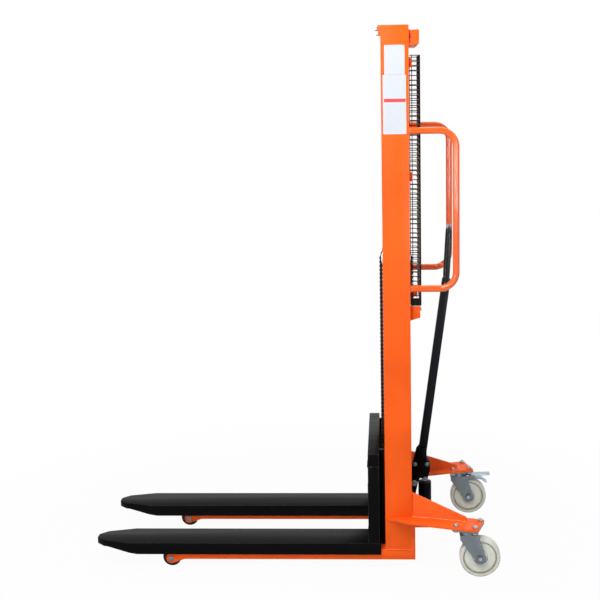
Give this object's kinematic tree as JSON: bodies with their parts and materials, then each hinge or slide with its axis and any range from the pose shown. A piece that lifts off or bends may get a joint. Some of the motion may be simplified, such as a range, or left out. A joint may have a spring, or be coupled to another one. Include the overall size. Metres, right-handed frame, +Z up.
{
  "type": "hand pallet stacker",
  "caption": "Manual pallet stacker with an upright mast, chain-lifted fork carriage, straddle legs on rollers, splayed swivel casters, hand-pump lever and mesh guard.",
  "frame": {"origin": "middle of the overall length and width, on the floor", "axes": "+Z up along the mast, +X towards the operator, forks point to -X, -Y is the operator's left"},
  "size_m": [1.552, 0.7958, 2.02],
  "materials": {
    "orange_paint": "semi-gloss powder coat",
    "black_paint": "semi-gloss black paint",
    "zinc_plate": "bright zinc plate",
    "bare_steel": "turned steel",
    "cream_nylon": "satin nylon",
    "black_polyurethane": "satin polyurethane",
    "chrome_rod": "hard chrome",
    "oiled_chain": "oiled",
    "guard_wire": "satin black paint"
  },
  "bodies": {
    "chassis": {"left_column": "orange_paint", "right_column": "orange_paint", "mast_bolts": "zinc_plate", "top_crossbeam": "orange_paint", "left_leg": "orange_paint", "right_leg": "orange_paint", "load_roller_axles": "zinc_plate", "rear_cross_plate": "orange_paint", "base_plate": "orange_paint", "left_outrigger": "orange_paint", "right_outrigger": "orange_paint", "caster_plates": "zinc_plate", "caster_fasteners": "zinc_plate", "lift_cylinder": "black_paint", "cylinder_gland": "black_paint", "chain_back": "oiled_chain", "chain_anchor_bracket": "black_paint", "left_hand_rail": "orange_paint", "right_hand_rail": "orange_paint", "guard_mesh_rear": "guard_wire", "guard_mesh_sides": "guard_wire", "guard_brackets": "orange_paint", "pump_body": "black_paint", "plunger_spring": "bare_steel", "pressure_pipe": "bare_steel", "lever_posts": "black_paint", "lever_pivot_pin": "zinc_plate"},
    "carriage": {"left_fork": "black_paint", "right_fork": "black_paint", "carriage_uprights": "black_paint", "carriage_crossbeams": "black_paint", "roller_brackets": "black_paint", "guide_roller_axles": "bare_steel", "chain_front": "oiled_chain"},
    "lift_head": {"piston_rod": "chrome_rod", "pulley_yoke": "black_paint", "pulley_axle": "bare_steel", "chain_wrap": "oiled_chain"},
    "chain_pulley": {"chain_pulley": "bare_steel"},
    "left_upper_guide_roller": {"left_upper_guide_roller": "bare_steel"},
    "right_upper_guide_roller": {"right_upper_guide_roller": "bare_steel"},
    "left_lower_guide_roller": {"left_lower_guide_roller": "bare_steel"},
    "right_lower_guide_roller": {"right_lower_guide_roller": "bare_steel"},
    "pump_lever": {"lever_cheeks": "black_paint", "lever_bolts": "zinc_plate", "lever_bar": "black_paint", "lever_loop": "black_paint"},
    "heel_roller": {"heel_roller": "bare_steel"},
    "pump_plunger": {"pump_plunger": "black_paint"},
    "release_pedal": {"release_pedal": "black_paint"},
    "left_caster": {"left_caster_yoke": "zinc_plate", "left_caster_axle": "zinc_plate"},
    "right_caster": {"right_caster_yoke": "zinc_plate", "right_caster_axle": "zinc_plate"},
    "left_caster_wheel": {"left_caster_wheel": "cream_nylon"},
    "right_caster_wheel": {"right_caster_wheel": "cream_nylon"},
    "brake_pedal": {"brake_pedal": "zinc_plate"},
    "left_load_roller": {"left_load_roller": "black_polyurethane"},
    "right_load_roller": {"right_load_roller": "black_polyurethane"}
  },
  "joints": [
    {"name": "carriage_lift", "type": "slide", "parent": "chassis", "child": "carriage", "axis": [0, 0, 1], "range_m": [0, 1.5], "deforming": ["chain_front"]},
    {"name": "piston_stroke", "type": "slide", "parent": "chassis", "child": "lift_head", "axis": [0, 0, 1], "range_m": [0, 0.75], "deforming": ["chain_back"]},
    {"name": "pulley_spin", "type": "hinge", "parent": "lift_head", "child": "chain_pulley", "pos_m": [0.386, 0, 1.148], "axis": [0, 1, 0], "continuous": true},
    {"name": "left_upper_guide_spin", "type": "hinge", "parent": "carriage", "child": "left_upper_guide_roller", "pos_m": [0.386, -0.241, 0.395], "axis": [0, 1, 0], "continuous": true},
    {"name": "right_upper_guide_spin", "type": "hinge", "parent": "carriage", "child": "right_upper_guide_roller", "pos_m": [0.386, 0.241, 0.395], "axis": [0, 1, 0], "continuous": true},
    {"name": "left_lower_guide_spin", "type": "hinge", "parent": "carriage", "child": "left_lower_guide_roller", "pos_m": [0.386, -0.241, 0.125], "axis": [0, 1, 0], "continuous": true},
    {"name": "right_lower_guide_spin", "type": "hinge", "parent": "carriage", "child": "right_lower_guide_roller", "pos_m": [0.386, 0.241, 0.125], "axis": [0, 1, 0], "continuous": true},
    {"name": "lever_swing", "type": "hinge", "parent": "chassis", "child": "pump_lever", "pos_m": [0.45, 0, 0.252], "axis": [0, 1, 0], "range_deg": [0, 55], "stiffness_Nm_per_rad": 30, "springref_deg": -17.19},
    {"name": "heel_roller_spin", "type": "hinge", "parent": "pump_lever", "child": "heel_roller", "pos_m": [0.4925, 0, 0.266], "axis": [0, 1, 0], "continuous": true},
    {"name": "plunger_stroke", "type": "slide", "parent": "chassis", "child": "pump_plunger", "axis": [0, 0, -1], "range_m": [0, 0.0422], "deforming": ["plunger_spring"]},
    {"name": "release_pedal_tilt", "type": "hinge", "parent": "chassis", "child": "release_pedal", "pos_m": [0.5045, 0, 0.106], "axis": [0, 1, 0], "range_deg": [0, 12], "stiffness_Nm_per_rad": 2, "springref_deg": -17.19},
    {"name": "left_caster_swivel", "type": "hinge", "parent": "chassis", "child": "left_caster", "pos_m": [0.642, -0.33, 0.19], "axis": [0, 0, 1], "continuous": true},
    {"name": "left_caster_spin", "type": "hinge", "parent": "left_caster", "child": "left_caster_wheel", "pos_m": [0.685, -0.33, 0.075], "axis": [0, 1, 0], "continuous": true},
    {"name": "right_caster_swivel", "type": "hinge", "parent": "chassis", "child": "right_caster", "pos_m": [0.642, 0.33, 0.19], "axis": [0, 0, 1], "continuous": true},
    {"name": "right_caster_spin", "type": "hinge", "parent": "right_caster", "child": "right_caster_wheel", "pos_m": [0.685, 0.33, 0.075], "axis": [0, 1, 0], "continuous": true},
    {"name": "brake_tilt", "type": "hinge", "parent": "right_caster", "child": "brake_pedal", "pos_m": [0.704, 0.33, 0.16], "axis": [0, 1, 0], "range_deg": [0, 14]},
    {"name": "left_load_roller_spin", "type": "hinge", "parent": "chassis", "child": "left_load_roller", "pos_m": [-0.482, -0.209, 0.035], "axis": [0, 1, 0], "continuous": true},
    {"name": "right_load_roller_spin", "type": "hinge", "parent": "chassis", "child": "right_load_roller", "pos_m": [-0.482, 0.209, 0.035], "axis": [0, 1, 0], "continuous": true}
  ],
  "couplings": [
    {"joint": "piston_stroke", "follows": "carriage_lift", "ratio": 0.5},
    {"joint": "pulley_spin", "follows": "carriage_lift", "rad_per_m": 8.726},
    {"joint": "left_upper_guide_spin", "follows": "carriage_lift", "rad_per_m": -24.096},
    {"joint": "right_upper_guide_spin", "follows": "carriage_lift", "rad_per_m": -24.096},
    {"joint": "left_lower_guide_spin", "follows": "carriage_lift", "rad_per_m": 24.096},
    {"joint": "right_lower_guide_spin", "follows": "carriage_lift", "rad_per_m": 24.096},
    {"joint": "plunger_stroke", "follows": "lever_swing", "m_per_rad": 0.0438}
  ]
}
